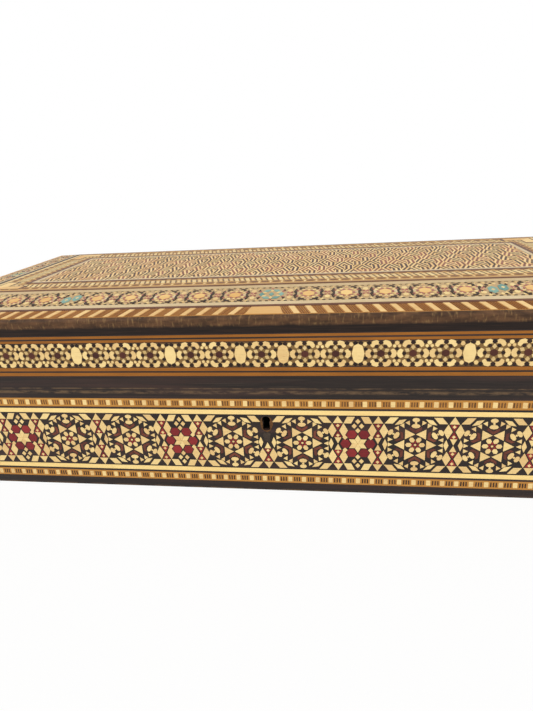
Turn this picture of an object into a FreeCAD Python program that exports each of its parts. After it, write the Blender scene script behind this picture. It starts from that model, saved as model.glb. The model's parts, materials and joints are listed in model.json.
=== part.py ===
import FreeCAD, Part
import math
import os
from itertools import cycle

Vector = FreeCAD.Vector
os.makedirs("parts", exist_ok=True)

# Inlaid wooden box with a hinged, bevelled lid and a small box lock.
# Millimetres. The origin is the middle of the underside, +Z is up and the front faces -Y.

# Plan of the box over its veneers
box_width = 418.0
box_depth = 201.0

# Layers of every wall, from the outside in
veneer = 2.0
wall = 9.0
lining = 1.5
lining_gap = 0.2
lining_drop = 1.5

# Heights of the bands on the body, from the table up
foot_height = 4.7
lower_dash_height = 4.6
cream_line_height = 3.6
star_height = 31.2
upper_dash_height = 4.8
body_rim_height = 5.8

# Heights of the bands on the lid, from the seam up
lid_rim_height = 6.1
lower_string_height = 5.5
rosette_band_height = 12.2
upper_string_height = 4.5
nosing_height = 8.0

# Bevelled top of the lid
bevel_rise = 6.4
bevel_width = 37.9
nosing_depth = 2.0
nosing_round = 1.8
rope_width = 8.4
top_border_width = 24.6

# Base board, held in a rebate round the foot of the walls
base_thickness = 5.0
base_rebate = 4.0

# Marquetry of the star bands: a pierced ebony sheet with tiles let in
rosette_pitch = 35.3
red_star_pitch = 19.3
point_tip = 9.1
point_base = 5.3
point_half_width = 2.6
star_tip = 5.0
star_notch = 2.9
petal_inner = 3.3
petal_middle = 5.6
petal_outer = 8.1
petal_half_width = 2.2
sheet_web = 0.4
glue_line = 0.05

# Butt hinges, let in flush behind a bevel planed along the back of the seam
hinge_length = 40.0
hinge_end_distance = 75.0
hinge_inset = 3.0
knuckle_radius = 2.4
middle_knuckle = 15.0
knuckle_gap = 0.4
pin_radius = 1.0
pin_clearance = 0.05
leaf_thickness = 1.2
leaf_width = 7.5
hinge_screw_spacing = 24.0
hinge_screw_inset = 5.0
lid_opening = 105.0
stop_allowance = 2.0

# Box lock, let into the inner face and the top edge of the front wall
lock_width = 56.0
lock_height = 27.3
lock_plate_thickness = 1.2
selvedge_thickness = 1.6
cap_width = 40.0
cap_height = 23.7
cap_depth = 5.5
cap_sheet = 0.8
let_in_gap = 0.1
keyhole_height = 41.1
keyhole_radius = 2.0
keyhole_neck = 2.7
keyhole_foot = 4.0
keyhole_drop = 5.6
key_post_radius = 0.9
key_post_length = 6.3
lock_screw_spacing = 48.0
lock_screw_height = 36.0

# Sliding bolt and the staples of the strike plate that it catches
bolt_travel = 4.0
bolt_thickness = 1.7
bolt_bar_height = 5.0
bolt_bar_top = 48.5
bolt_tail = 12.0
talon_width = 4.0
talon_height = 1.5
finger_height = 3.0
finger_length = 3.5
finger_top = 54.0
finger_stand_off = 0.8
finger_gap = 0.3
hook_width = 3.0
staple_spacing = 18.0
staple_thickness = 1.5
staple_side = 0.6
staple_foot = 1.4
staple_slot_gap = 0.4
guide_stud_spacing = 14.0
guide_stud_radius = 1.2
guide_stud_gap = 0.2

# Countersunk wood screws
screw_head_radius = 1.6
screw_head_depth = 1.2
screw_radius = 0.8
screw_length = 6.0
screw_gap = 0.05

# Levels of the bands, worked up from the table
lower_dash_base = foot_height
lower_line_base = lower_dash_base + lower_dash_height
star_base = lower_line_base + cream_line_height
upper_line_base = star_base + star_height
upper_dash_base = upper_line_base + cream_line_height
body_rim_base = upper_dash_base + upper_dash_height
seam = body_rim_base + body_rim_height
lower_string_base = seam + lid_rim_height
rosette_base = lower_string_base + lower_string_height
upper_string_base = rosette_base + rosette_band_height
nosing_base = upper_string_base + upper_string_height
lid_edge = nosing_base + nosing_height
lid_top = lid_edge + bevel_rise

# Depths into a wall, counted from its outer face
inner_face = veneer + wall
rope_end = nosing_depth + rope_width
border_end = bevel_width + top_border_width

# The four sides, in order round the box, each a quarter turn about Z from the one before
sides = ("front", "right", "back", "left")


def side_length(name):
    return box_width if name in ("front", "back") else box_depth


def side_distance(name):
    """Distance between a side and its opposite."""
    return box_depth if name in ("front", "back") else box_width


def save(name, *shapes):
    """Write one named piece, or one group of like pieces, to its own file."""
    solids = [solid for shape in shapes for solid in shape.Solids]
    whole = solids[0] if len(solids) == 1 else Part.makeCompound(solids)
    whole.exportStep("parts/" + name + ".step")


def block(low, high):
    """Rectangular block between two corners."""
    size = Vector(*high) - Vector(*low)
    return Part.makeBox(size.x, size.y, size.z, Vector(*low))


def prism(corners, travel):
    """Flat outline of straight edges, pulled along a direction."""
    outline = [Vector(*corner) for corner in corners]
    return Part.Face(Part.makePolygon(outline + outline[:1])).extrude(Vector(*travel))


def to_side(name, shape):
    """Move a shape from the side's own frame (along it, into it, up) to its place on the box."""
    shape.translate(Vector(0, -side_distance(name) / 2, 0))
    shape.rotate(Vector(0, 0, 0), Vector(0, 0, 1), 90 * sides.index(name))
    return shape


def mitred(name, bar):
    """Cut the ends of a bar to the mitres of its side and set it in place."""
    half = side_length(name) / 2
    depth = min(box_width, box_depth) / 2
    plan = [(-half, 0, 0), (half, 0, 0), (half - depth, depth, 0), (depth - half, depth, 0)]
    return to_side(name, bar.common(prism(plan, (0, 0, lid_top))))


def moulding(name, section):
    """A run of one section, given as (depth into the wall, height) corners, along one side."""
    length = side_length(name)
    corners = [(-length / 2, depth, height) for depth, height in section]
    return mitred(name, prism(corners, (length, 0, 0)))


def strip(name, low, high, outside=0.0, inside=veneer):
    """A run of rectangular section along one side."""
    return moulding(name, [(outside, low), (inside, low), (inside, high), (outside, high)])


def ring(low, high, outside=0.0, inside=veneer):
    """Four mitred strips round the box."""
    return [strip(name, low, high, outside, inside) for name in sides]


def bevel_height(depth):
    """Height of the bevelled top over a depth in from the lid's outer face."""
    return lid_edge + bevel_rise * depth / bevel_width


def inner_panel(low, high, inset):
    """Flat panel filling the plan of the box up to an inset."""
    half_width = box_width / 2 - inset
    half_depth = box_depth / 2 - inset
    return block((-half_width, -half_depth, low), (half_width, half_depth, high))


# Countersunk wood screws, drawn with eight flats, along a unit direction from the middle of the head
def eight_corners(centre, direction, radius):
    """Corners of an octagon about a centre, square to a direction."""
    axis = Vector(*direction)
    across = Vector(1, 0, 0)
    up = axis.cross(across)
    angles = [math.radians(45 * step) for step in range(8)]
    return [centre + across * (radius * math.cos(angle)) + up * (radius * math.sin(angle)) for angle in angles]


def screw_form(place, direction, extra):
    head = Vector(*place)
    axis = Vector(*direction)
    rings = [
        eight_corners(head, direction, screw_head_radius + extra),
        eight_corners(head + axis * screw_head_depth, direction, screw_radius + extra),
        eight_corners(head + axis * (screw_length + extra), direction, screw_radius + extra),
    ]
    outlines = [rings[0], rings[-1]]
    for low, high in zip(rings, rings[1:]):
        for here in range(8):
            there = (here + 1) % 8
            outlines.append([low[here], low[there], high[there], high[here]])
    faces = [Part.Face(Part.makePolygon(outline + outline[:1])) for outline in outlines]
    return Part.Solid(Part.Shell(faces))


def screw(place, direction):
    return screw_form(place, direction, 0.0)


def without(shape, *cutters):
    """Shape with each cutter taken out of it."""
    for cutter in cutters:
        shape = shape.cut(cutter)
    return shape


def screw_holes(places, direction):
    return [screw_form(place, direction, screw_gap) for place in places]


# Keyhole: a round head over a slot that flares towards its foot
def keyhole(depth):
    front = -box_depth / 2
    head = Part.makeCylinder(keyhole_radius, depth, Vector(0, front, keyhole_height), Vector(0, 1, 0))
    foot = keyhole_height - keyhole_drop
    slot = prism([
        (-keyhole_neck / 2, front, keyhole_height),
        (keyhole_neck / 2, front, keyhole_height),
        (keyhole_foot / 2, front, foot),
        (-keyhole_foot / 2, front, foot),
    ], (0, depth, 0))
    return head.fuse(slot)


# Hinges. The pin line lies just inside the back face, at the seam, and the arrises behind it are
# planed to a bevel. The two bevels meet when the lid stands open, and that is its stop.
pin_line = box_depth / 2 - hinge_inset
hinge_places = (hinge_end_distance - box_width / 2, box_width / 2 - hinge_end_distance)
leaf_edge = pin_line - leaf_width
stop_angle = math.radians((lid_opening + stop_allowance) / 2)


def stop_bevel(up):
    """Wedge planed off behind the pin line: below the seam on the body, above it on the lid."""
    run = hinge_inset + veneer
    rise = up * run * math.tan(stop_angle)
    corners = [(-box_width, pin_line, seam), (-box_width, pin_line + run, seam),
               (-box_width, pin_line + run, seam + rise)]
    return prism(corners, (2 * box_width, 0, 0))


def along_pin(middle, length, radius):
    """Cylinder on the pin line, centred on a place along it."""
    return Part.makeCylinder(radius, length, Vector(middle - length / 2, pin_line, seam), Vector(1, 0, 0))


def hinge_reliefs():
    """Square notches that the knuckles turn in, cut into the wood on both sides of the seam."""
    half = hinge_length / 2 + knuckle_gap
    reach = knuckle_radius + knuckle_gap
    return [block((middle - half, pin_line - reach, seam - reach), (middle + half, box_depth / 2, seam + reach))
            for middle in hinge_places]


def leaf_plate(middle, up, gap):
    """Flat of a hinge leaf, or with a gap the mortise that it is let into."""
    half = hinge_length / 2 + gap
    heights = sorted((seam, seam + up * leaf_thickness))
    return block((middle - half, leaf_edge - gap, heights[0]), (middle + half, pin_line, heights[1]))


def leaf_screws(middle):
    """Heads of a leaf's two screws, flush with the face of the leaf at the seam."""
    half = hinge_screw_spacing / 2
    return [(middle + offset, pin_line - hinge_screw_inset, seam) for offset in (-half, half)]


end_knuckle = (hinge_length - middle_knuckle) / 2 - knuckle_gap
end_knuckle_offset = (hinge_length - end_knuckle) / 2


def hinge_leaf(middle, up):
    """One leaf with its knuckles: the two end ones on the body, the middle one on the lid."""
    ends = [(middle + offset, end_knuckle) for offset in (-end_knuckle_offset, end_knuckle_offset)]
    centre = [(middle, middle_knuckle)]
    own, other = (centre, ends) if up > 0 else (ends, centre)
    leaf = leaf_plate(middle, up, 0.0)
    for place, length in other:
        leaf = leaf.cut(along_pin(place, length + 2 * knuckle_gap, knuckle_radius + knuckle_gap))
    for place, length in own:
        leaf = leaf.fuse(along_pin(place, length, knuckle_radius))
    leaf = leaf.cut(along_pin(middle, hinge_length, pin_radius + pin_clearance))
    return without(leaf, *screw_holes(leaf_screws(middle), (0, 0, up)))


leaf_screw_places = [place for middle in hinge_places for place in leaf_screws(middle)]

for word, middle in zip(("left", "right"), hinge_places):
    save(word + "_hinge_body_leaf", hinge_leaf(middle, -1))
    save(word + "_hinge_lid_leaf", hinge_leaf(middle, 1))
save("hinge_pins", *[along_pin(middle, hinge_length, pin_radius) for middle in hinge_places])
save("body_hinge_screws", *[screw(place, (0, 0, -1)) for place in leaf_screw_places])
save("lid_hinge_screws", *[screw(place, (0, 0, 1)) for place in leaf_screw_places])

# Lock. Depths run from the front face of the box inwards along +Y.
front_face = -box_depth / 2
lock_back = front_face + inner_face
plate_front = lock_back - lock_plate_thickness
cap_front = plate_front - cap_depth
bolt_front = (cap_front + cap_sheet + plate_front - bolt_thickness) / 2
bolt_back = bolt_front + bolt_thickness
lock_foot = seam - lock_height
selvedge_base = seam - selvedge_thickness
cap_foot = selvedge_base - cap_height
screw_depth = (cap_front + plate_front) / 2
staple_places = (-staple_spacing / 2, staple_spacing / 2)
stud_places = (-guide_stud_spacing / 2, guide_stud_spacing / 2)
stud_height = bolt_bar_top - bolt_bar_height / 2
edge_screw_places = [(x, screw_depth, seam) for x in (-lock_screw_spacing / 2, lock_screw_spacing / 2)]
plate_screw_places = [(x, lock_back, lock_screw_height) for x in (-lock_screw_spacing / 2, lock_screw_spacing / 2)]


def lock_plate_blocks(gap):
    """Back plate and the selvedge along the rim, grown by a gap to make their recess."""
    half = lock_width / 2 + gap
    back = block((-half, plate_front, lock_foot - gap), (half, lock_back, seam))
    selvedge = block((-half, cap_front - gap, selvedge_base), (half, lock_back, seam))
    return [back, selvedge]


def cap_block(gap):
    half = cap_width / 2 + gap
    return block((-half, cap_front - gap, cap_foot - gap), (half, plate_front, selvedge_base))


def staple(place):
    """Loop that hangs from the strike plate, with its eye facing along the bolt's travel."""
    eye_low = finger_top - finger_height - finger_gap
    eye_front = bolt_front - finger_gap
    eye_back = bolt_back + finger_gap
    low_x = place - staple_thickness / 2
    high_x = place + staple_thickness / 2
    loop = block((low_x, eye_front - staple_side, eye_low - staple_foot), (high_x, eye_back + staple_side, seam))
    return loop.cut(block((low_x, eye_front, eye_low), (high_x, eye_back, finger_top + finger_gap)))


def staple_slot(place):
    """Slot in the selvedge that a staple drops through."""
    low_x = place - staple_thickness / 2 - staple_slot_gap
    high_x = place + staple_thickness / 2 + staple_slot_gap
    margin = finger_gap + staple_side + staple_slot_gap
    return block((low_x, bolt_front - margin, selvedge_base), (high_x, bolt_back + margin, seam))


lock_plate = lock_plate_blocks(0.0)[0].fuse(lock_plate_blocks(0.0)[1])
stud_length = plate_front - cap_front - cap_sheet - finger_gap
for place in stud_places:
    stud = Part.makeCylinder(guide_stud_radius, stud_length, Vector(place, plate_front, stud_height), Vector(0, -1, 0))
    lock_plate = lock_plate.fuse(stud)
lock_plate = without(lock_plate.removeSplitter(), *[staple_slot(place) for place in staple_places])
lock_plate = without(lock_plate, *screw_holes(edge_screw_places, (0, 0, -1)))
lock_plate = without(lock_plate, *screw_holes(plate_screw_places, (0, -1, 0)))
save("lock_plate", lock_plate)

half_inside = cap_width / 2 - cap_sheet
cap_inside = block(
    (-half_inside, cap_front + cap_sheet, cap_foot + cap_sheet), (half_inside, plate_front, selvedge_base))
save("lock_cap", without(cap_block(0.0), cap_inside, keyhole(cap_front + cap_sheet - front_face)))

key_post = Part.makeCylinder(
    key_post_radius, key_post_length, Vector(0, plate_front, keyhole_height), Vector(0, -1, 0))
save("key_post", key_post)
save("lock_screws", *[screw(place, (0, 0, -1)) for place in edge_screw_places],
     *[screw(place, (0, -1, 0)) for place in plate_screw_places])

# Bolt: a bar on two guide studs, with a hook beside each staple. It is drawn back, unlocked, at rest.
bar_foot = bolt_bar_top - bolt_bar_height
hook_reach = staple_thickness / 2 + finger_stand_off
bar_start = staple_places[0] - hook_reach - finger_length - hook_width
bolt = block((bar_start, bolt_front, bar_foot), (bolt_tail, bolt_back, bolt_bar_top))
for place in staple_places:
    tip = place - hook_reach
    hook_start = tip - finger_length - hook_width
    bolt = bolt.fuse(block((hook_start, bolt_front, bar_foot), (hook_start + hook_width, bolt_back, finger_top)))
    bolt = bolt.fuse(block((hook_start, bolt_front, finger_top - finger_height), (tip, bolt_back, finger_top)))
for place in stud_places:
    slot_radius = guide_stud_radius + guide_stud_gap
    ends = [Part.makeCylinder(slot_radius, bolt_thickness, Vector(x, bolt_front, stud_height), Vector(0, 1, 0))
            for x in (place - bolt_travel, place)]
    middle = block((place - bolt_travel, bolt_front, stud_height - slot_radius),
                   (place, bolt_back, stud_height + slot_radius))
    bolt = without(bolt, middle, *ends)
talon = block((-talon_width / 2, bolt_front, bar_foot), (talon_width / 2, bolt_back, bar_foot + talon_height))
save("lock_bolt", bolt.cut(talon).removeSplitter())

# Strike plate under the lid's front wall, with the two staples that the bolt catches
strike_top = seam + selvedge_thickness


def strike_block(gap):
    half = lock_width / 2 + gap
    return block((-half, cap_front - gap, seam), (half, lock_back, strike_top))


strike = strike_block(0.0)
for place in staple_places:
    strike = strike.fuse(staple(place))
save("strike_plate", without(strike.removeSplitter(), *screw_holes(edge_screw_places, (0, 0, 1))))
save("strike_screws", *[screw(place, (0, 0, 1)) for place in edge_screw_places])

# Carcass of the body: four mitred walls, rebated round their foot for the base board
wall_section = [
    (veneer, 0),
    (inner_face - base_rebate, 0),
    (inner_face - base_rebate, base_thickness),
    (inner_face, base_thickness),
    (inner_face, seam),
    (veneer, seam),
]
body_walls = {name: moulding(name, wall_section) for name in sides}
body_walls["front"] = without(
    body_walls["front"], *lock_plate_blocks(let_in_gap), cap_block(let_in_gap), keyhole(inner_face),
    *screw_holes(edge_screw_places, (0, 0, -1)), *screw_holes(plate_screw_places, (0, -1, 0)))
body_walls["back"] = without(
    body_walls["back"], *hinge_reliefs(), *screw_holes(leaf_screw_places, (0, 0, -1)),
    *[leaf_plate(middle, -1, let_in_gap) for middle in hinge_places])
for name, shape in body_walls.items():
    save(name + "_wall", shape.cut(stop_bevel(-1)))
save("base_board", inner_panel(0, base_thickness, inner_face - base_rebate))

# Strips that run round the body above and below the star bands
save("foot_strips", *ring(0, lower_dash_base))
save("lower_dashed_bandings", *ring(lower_dash_base, lower_line_base))
save("lower_cream_lines", *ring(lower_line_base, star_base))
save("upper_cream_lines", *ring(upper_line_base, upper_dash_base))
save("upper_dashed_bandings", *ring(upper_dash_base, body_rim_base))
save("body_rim_strips", *[without(rim, stop_bevel(-1), *hinge_reliefs()) for rim in ring(body_rim_base, seam)])


# Star bands. Rosettes of six cream points and cream stars with six red petals stand in a row along
# each side. A long side has a joint between two rosettes in its middle, a short side a red star.
def band_layout(name):
    """Places of the rosettes and red stars along a side, worked outwards from its middle."""
    half = side_length(name) / 2 - veneer - sheet_web
    pitch = {"rosette": rosette_pitch, "red star": red_star_pitch}
    reach = {"rosette": point_tip, "red star": petal_outer}
    if name in ("front", "back"):
        places = {"rosette": [rosette_pitch / 2], "red star": []}
        edge = rosette_pitch
        order = cycle(("red star", "rosette", "rosette"))
    else:
        places = {"rosette": [], "red star": [0.0]}
        edge = red_star_pitch / 2
        order = cycle(("rosette", "rosette", "red star"))
    kind = next(order)
    while edge + pitch[kind] / 2 + reach[kind] < half:
        places[kind].append(edge + pitch[kind] / 2)
        edge += pitch[kind]
        kind = next(order)
    return {kind: sorted({sign * place for place in row for sign in (-1, 1)}) for kind, row in places.items()}


def turned(outline, angle, place):
    """Turn an outline (along the band, up) about its own middle and move it to its place."""
    cosine, sine = math.cos(math.radians(angle)), math.sin(math.radians(angle))
    middle = star_base + star_height / 2
    return [(place + along * cosine - up * sine, middle + along * sine + up * cosine) for along, up in outline]


star_point = [(point_tip, 0), (point_base, point_half_width), (point_base, -point_half_width)]
red_petal = [(petal_outer, 0), (petal_middle, petal_half_width), (petal_inner, 0), (petal_middle, -petal_half_width)]
six_turns = range(0, 360, 60)
cream_star = [corner for angle in six_turns for corner in (
    (star_notch * math.cos(math.radians(angle)), star_notch * math.sin(math.radians(angle))),
    (star_tip * math.cos(math.radians(angle + 30)), star_tip * math.sin(math.radians(angle + 30))))]


def grown(outline, gap):
    """Outline moved out all round by a gap, for the opening that takes a tile."""
    middle = [sum(values) / len(outline) for values in zip(*outline)]
    lines = []
    for (x1, z1), (x2, z2) in zip(outline, outline[1:] + outline[:1]):
        length = math.hypot(x2 - x1, z2 - z1)
        out = ((z2 - z1) / length, (x1 - x2) / length)
        if out[0] * (x1 - middle[0]) + out[1] * (z1 - middle[1]) < 0:
            out = (-out[0], -out[1])
        lines.append((out, out[0] * x1 + out[1] * z1 + gap))
    corners = []
    for (a, first), (b, second) in zip(lines[-1:] + lines[:-1], lines):
        cross = a[0] * b[1] - a[1] * b[0]
        corners.append(((first * b[1] - second * a[1]) / cross, (a[0] * second - b[0] * first) / cross))
    return corners


def star_band(name):
    """Pierced sheet, cream tiles and red tiles of one side."""
    length = side_length(name)
    places = band_layout(name)
    cream = [turned(star_point, angle, place) for place in places["rosette"] for angle in six_turns]
    cream += [turned(cream_star, 0, place) for place in places["red star"]]
    red = [turned(red_petal, angle, place) for place in places["red star"] for angle in six_turns]

    def wire(outline):
        corners = [Vector(along, 0, up) for along, up in outline]
        return Part.makePolygon(corners + corners[:1])

    top = star_base + star_height
    border = [(-length / 2, star_base), (length / 2, star_base), (length / 2, top), (-length / 2, top)]
    openings = [wire(grown(outline, glue_line)) for outline in cream + red]
    sheet = Part.Face([wire(border)] + openings, "Part::FaceMakerCheese").extrude(Vector(0, veneer, 0))
    tiles = [[to_side(name, Part.Face(wire(outline)).extrude(Vector(0, veneer, 0))) for outline in colour]
             for colour in (cream, red)]
    return mitred(name, sheet), tiles[0], tiles[1]


red_tiles = []
for name in sides:
    sheet, cream, red = star_band(name)
    if name == "front":
        sheet = sheet.cut(keyhole(veneer))
    save(name + "_star_ground", sheet)
    save(name + "_star_tiles", *cream)
    red_tiles += red
save("red_star_tiles", *red_tiles)

# Velvet lining of the body, on card: a floor, and four walls cut away round the lock plate
floor_top = base_thickness + lining_gap + lining
save("floor_lining", inner_panel(base_thickness + lining_gap, floor_top, inner_face + lining_gap))
lining_back = inner_face + lining_gap + lining
half_window = lock_width / 2 + lining_gap
lock_window = block(
    (-half_window, front_face, lock_foot - lining_gap), (half_window, front_face + lining_back + lining, seam))
wall_linings = ring(floor_top + lining_gap, seam - lining_drop, inner_face + lining_gap, lining_back)
save("wall_linings", *[cloth.cut(lock_window) for cloth in wall_linings])

# Carcass of the lid: four mitred walls under a bevelled top board
lid_walls = {name: strip(name, seam, nosing_base, veneer, inner_face) for name in sides}
lid_walls["front"] = without(
    lid_walls["front"], strike_block(let_in_gap), *screw_holes(edge_screw_places, (0, 0, 1)))
lid_walls["back"] = without(
    lid_walls["back"], *hinge_reliefs(), *screw_holes(leaf_screw_places, (0, 0, 1)),
    *[leaf_plate(middle, 1, let_in_gap) for middle in hinge_places])
for name, shape in lid_walls.items():
    save("lid_" + name + "_wall", shape.cut(stop_bevel(1)))


def bevel_waste(name):
    """Wood planed off one side of the top board to make its bevel."""
    length = side_length(name)
    start = -length / 2
    return to_side(name, prism([
        (start, nosing_depth, bevel_height(nosing_depth) - veneer),
        (start, bevel_width, lid_top - veneer),
        (start, nosing_depth, lid_top - veneer),
    ], (length, 0, 0)))


top_board = inner_panel(nosing_base, lid_top - veneer, nosing_depth)
save("lid_top_board", without(top_board, *[bevel_waste(name) for name in sides]))

# Strips and bands round the lid's walls
save("lid_rim_strips", *[without(rim, stop_bevel(1), *hinge_reliefs()) for rim in ring(seam, lower_string_base)])
save("lid_lower_stringing", *ring(lower_string_base, rosette_base))
for name in sides:
    save("lid_" + name + "_rosette_band", strip(name, rosette_base, upper_string_base))
save("lid_upper_stringing", *ring(upper_string_base, nosing_base))


# Ebony nosing round the edge of the top board, its upper arris rounded over
def nosing(name):
    length = side_length(name)
    start = -length / 2
    bar = prism([
        (start, 0, nosing_base),
        (start, nosing_depth, nosing_base),
        (start, nosing_depth, bevel_height(nosing_depth)),
        (start, 0, lid_edge),
    ], (length, 0, 0))
    arris = [edge for edge in bar.Edges if edge.CenterOfMass.isEqual(Vector(0, 0, lid_edge), 1e-6)]
    return mitred(name, bar.makeFillet(min(nosing_round, 0.9 * nosing_depth), arris))


save("lid_nosings", *[nosing(name) for name in sides])


# Veneers of the top: rope banding and ornate band on the bevels, border and centre on the flat
def bevel_veneer(name, outside, inside):
    return moulding(name, [
        (outside, bevel_height(outside) - veneer),
        (inside, bevel_height(inside) - veneer),
        (inside, bevel_height(inside)),
        (outside, bevel_height(outside)),
    ])


save("rope_bandings", *[bevel_veneer(name, nosing_depth, rope_end) for name in sides])
for name in sides:
    save(name + "_bevel_panel", bevel_veneer(name, rope_end, bevel_width))
save("top_border", *ring(lid_top - veneer, lid_top, bevel_width, border_end))
save("top_centre_panel", inner_panel(lid_top - veneer, lid_top, border_end))

# Velvet lining of the lid
lid_lining_base = nosing_base - lining_gap - lining
save("lid_top_lining", inner_panel(lid_lining_base, nosing_base - lining_gap, inner_face + lining_gap))
save("lid_wall_linings", *ring(
    seam + lining_drop, lid_lining_base - lining_gap, inner_face + lining_gap, lining_back))
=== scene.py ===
import json
import math
import bmesh
import bpy
from mathutils import Matrix, Vector

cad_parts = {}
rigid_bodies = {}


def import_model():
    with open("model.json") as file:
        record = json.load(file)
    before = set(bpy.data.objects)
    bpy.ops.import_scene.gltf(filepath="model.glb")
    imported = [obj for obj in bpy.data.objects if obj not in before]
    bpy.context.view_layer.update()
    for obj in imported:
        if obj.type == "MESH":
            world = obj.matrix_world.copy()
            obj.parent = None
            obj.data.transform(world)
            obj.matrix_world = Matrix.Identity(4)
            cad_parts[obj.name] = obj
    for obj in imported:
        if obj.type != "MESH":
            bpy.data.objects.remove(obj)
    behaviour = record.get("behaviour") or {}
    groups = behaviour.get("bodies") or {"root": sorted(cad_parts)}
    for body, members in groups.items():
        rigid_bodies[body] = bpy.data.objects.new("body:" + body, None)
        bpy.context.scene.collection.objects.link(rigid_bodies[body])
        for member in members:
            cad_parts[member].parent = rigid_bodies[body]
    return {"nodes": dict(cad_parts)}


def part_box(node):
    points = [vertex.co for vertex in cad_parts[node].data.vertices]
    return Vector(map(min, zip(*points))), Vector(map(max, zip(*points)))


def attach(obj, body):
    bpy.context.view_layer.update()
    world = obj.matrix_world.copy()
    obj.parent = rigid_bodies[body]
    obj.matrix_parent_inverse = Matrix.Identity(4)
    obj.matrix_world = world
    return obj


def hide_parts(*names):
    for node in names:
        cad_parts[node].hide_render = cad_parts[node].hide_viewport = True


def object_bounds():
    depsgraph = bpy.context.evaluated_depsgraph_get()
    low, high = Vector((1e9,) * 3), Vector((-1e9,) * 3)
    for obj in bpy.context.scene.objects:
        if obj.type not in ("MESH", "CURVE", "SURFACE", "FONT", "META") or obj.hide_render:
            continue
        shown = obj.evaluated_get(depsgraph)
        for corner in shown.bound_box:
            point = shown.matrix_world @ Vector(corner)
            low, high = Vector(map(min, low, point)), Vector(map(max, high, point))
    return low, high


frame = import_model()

cad_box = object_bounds()
mm = 0.001


# Carcass: four mitred walls round a rebated base board, and four more under a bevelled top board.
# They are planed walnut, glued and left bare, so only their edges and the underside show.
def srgb(code):
    """Linear colour of a screen colour that is written as six hex digits."""
    parts = [int(code[start:start + 2], 16) / 255 for start in (0, 2, 4)]
    return [((part + 0.055) / 1.055) ** 2.4 for part in parts] + [1.0]


class Value:
    """A socket of a material. Sums on it add Math nodes, and node() adds any other node."""

    def __init__(self, tree, socket):
        self.tree = tree
        self.socket = socket

    def node(self, kind, settings, sockets, output=0):
        """Add a node: its settings first, then the values or links of its sockets."""
        made = self.tree.nodes.new("ShaderNode" + kind)
        for word, setting in settings.items():
            setattr(made, word, setting)
        for word, value in sockets.items():
            if isinstance(value, Value):
                self.tree.links.new(value.socket, made.inputs[word])
            else:
                made.inputs[word].default_value = value
        return Value(self.tree, made.outputs[output])

    def sum(self, operation, first, second=0.0):
        return self.node("Math", {"operation": operation}, {0: first, 1: second})

    def __add__(self, other):
        return self.sum("ADD", self, other)

    def __sub__(self, other):
        return self.sum("SUBTRACT", self, other)

    def __rsub__(self, other):
        return self.sum("SUBTRACT", other, self)

    def __mul__(self, other):
        return self.sum("MULTIPLY", self, other)

    def __lt__(self, other):
        return self.sum("LESS_THAN", self, other)

    def __abs__(self):
        return self.sum("ABSOLUTE", self)

    __radd__ = __add__
    __rmul__ = __mul__

    def axis(self, letter):
        return self.node("SeparateXYZ", {}, {"Vector": self}, letter)

    def stretched(self, x, y, z):
        return self.node("VectorMath", {"operation": "MULTIPLY"}, {0: self, 1: (x, y, z)})

    def noise(self, scale, detail=3.0, roughness=0.5):
        sockets = {"Vector": self, "Scale": scale, "Detail": detail, "Roughness": roughness}
        return self.node("TexNoise", {}, sockets)

    def ramp(self, low, high):
        """Smooth step from 0 at low to 1 at high."""
        sockets = {"Value": self, "From Min": low, "From Max": high}
        return self.node("MapRange", {"interpolation_type": "SMOOTHSTEP"}, sockets)

    def mix(self, first, second):
        """Colour that goes from first to second as this value goes from 0 to 1."""
        return self.node("Mix", {"data_type": "RGBA"}, {0: self, 6: first, 7: second}, 2)


def new_finish(name):
    """A new material, with the Object coordinates that its patterns start from."""
    finish = bpy.data.materials.new(name)
    finish.use_nodes = True
    coordinates = finish.node_tree.nodes.new("ShaderNodeTexCoord")
    return finish, Value(finish.node_tree, coordinates.outputs["Object"])


def surface(finish, colour, roughness, height, depth, constants):
    """Feed a finish's shader with its colour, gloss and relief, and set what is the same all over."""
    shader = finish.node_tree.nodes["Principled BSDF"]
    relief = colour.node("Bump", {}, {"Height": height, "Distance": depth}, "Normal")
    for word, value in (("Base Color", colour), ("Roughness", roughness), ("Normal", relief)):
        finish.node_tree.links.new(value.socket, shader.inputs[word])
    for word, value in constants.items():
        shader.inputs[word].default_value = value


half_width = cad_box[1].x
half_depth = cad_box[1].y


def round_the_box(place):
    """Coordinates (along the run, into the wall, up) on whichever of the four sides a point lies."""
    from_end = half_width - abs(place.axis("X"))
    from_face = half_depth - abs(place.axis("Y"))
    on_end = from_end < from_face
    along = place.axis("X") + on_end * (place.axis("Y") - place.axis("X"))
    inward = from_face + on_end * (from_end - from_face)
    return place.node("CombineXYZ", {}, {"X": along, "Y": inward, "Z": place.axis("Z")})


def wood(name, pale, dark, gloss, tiles=False):
    """Old polished wood between two screen colours: fibres along the run, slow changes of tone, and pores.

    Tiles are grimier, and differ a little from each other.
    """
    finish, place = new_finish(name)
    run = round_the_box(place)
    fibres = run.stretched(60, 1100, 1100).noise(1.0, 5.0, 0.6)
    pores = run.stretched(260, 4200, 4200).noise(1.0, 2.0).ramp(0.60, 0.74)
    tone = place.noise(30.0, 2.0)
    shade = fibres * 0.9 + tone * 0.6 - 0.25
    if tiles:
        grime = place.noise(420.0, 3.0)
        shade = shade + 0.7 * place.node("NewGeometry", {}, {}, "Random Per Island") + grime * 0.5 - 0.55
    colour = shade.mix(srgb(dark), srgb(pale))
    pore_colour = [part * 0.45 for part in srgb(dark)[:3]] + [1.0]
    colour = (pores * 0.3).mix(colour, pore_colour)
    surface(finish, colour, gloss + fibres * 0.2, fibres - pores, 0.02 * mm, {"Specular IOR Level": 0.2})
    return finish


def dress(finish, *nodes):
    """Give CAD nodes a finish."""
    for node in nodes:
        frame["nodes"][node].data.materials.clear()
        frame["nodes"][node].data.materials.append(finish)


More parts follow.
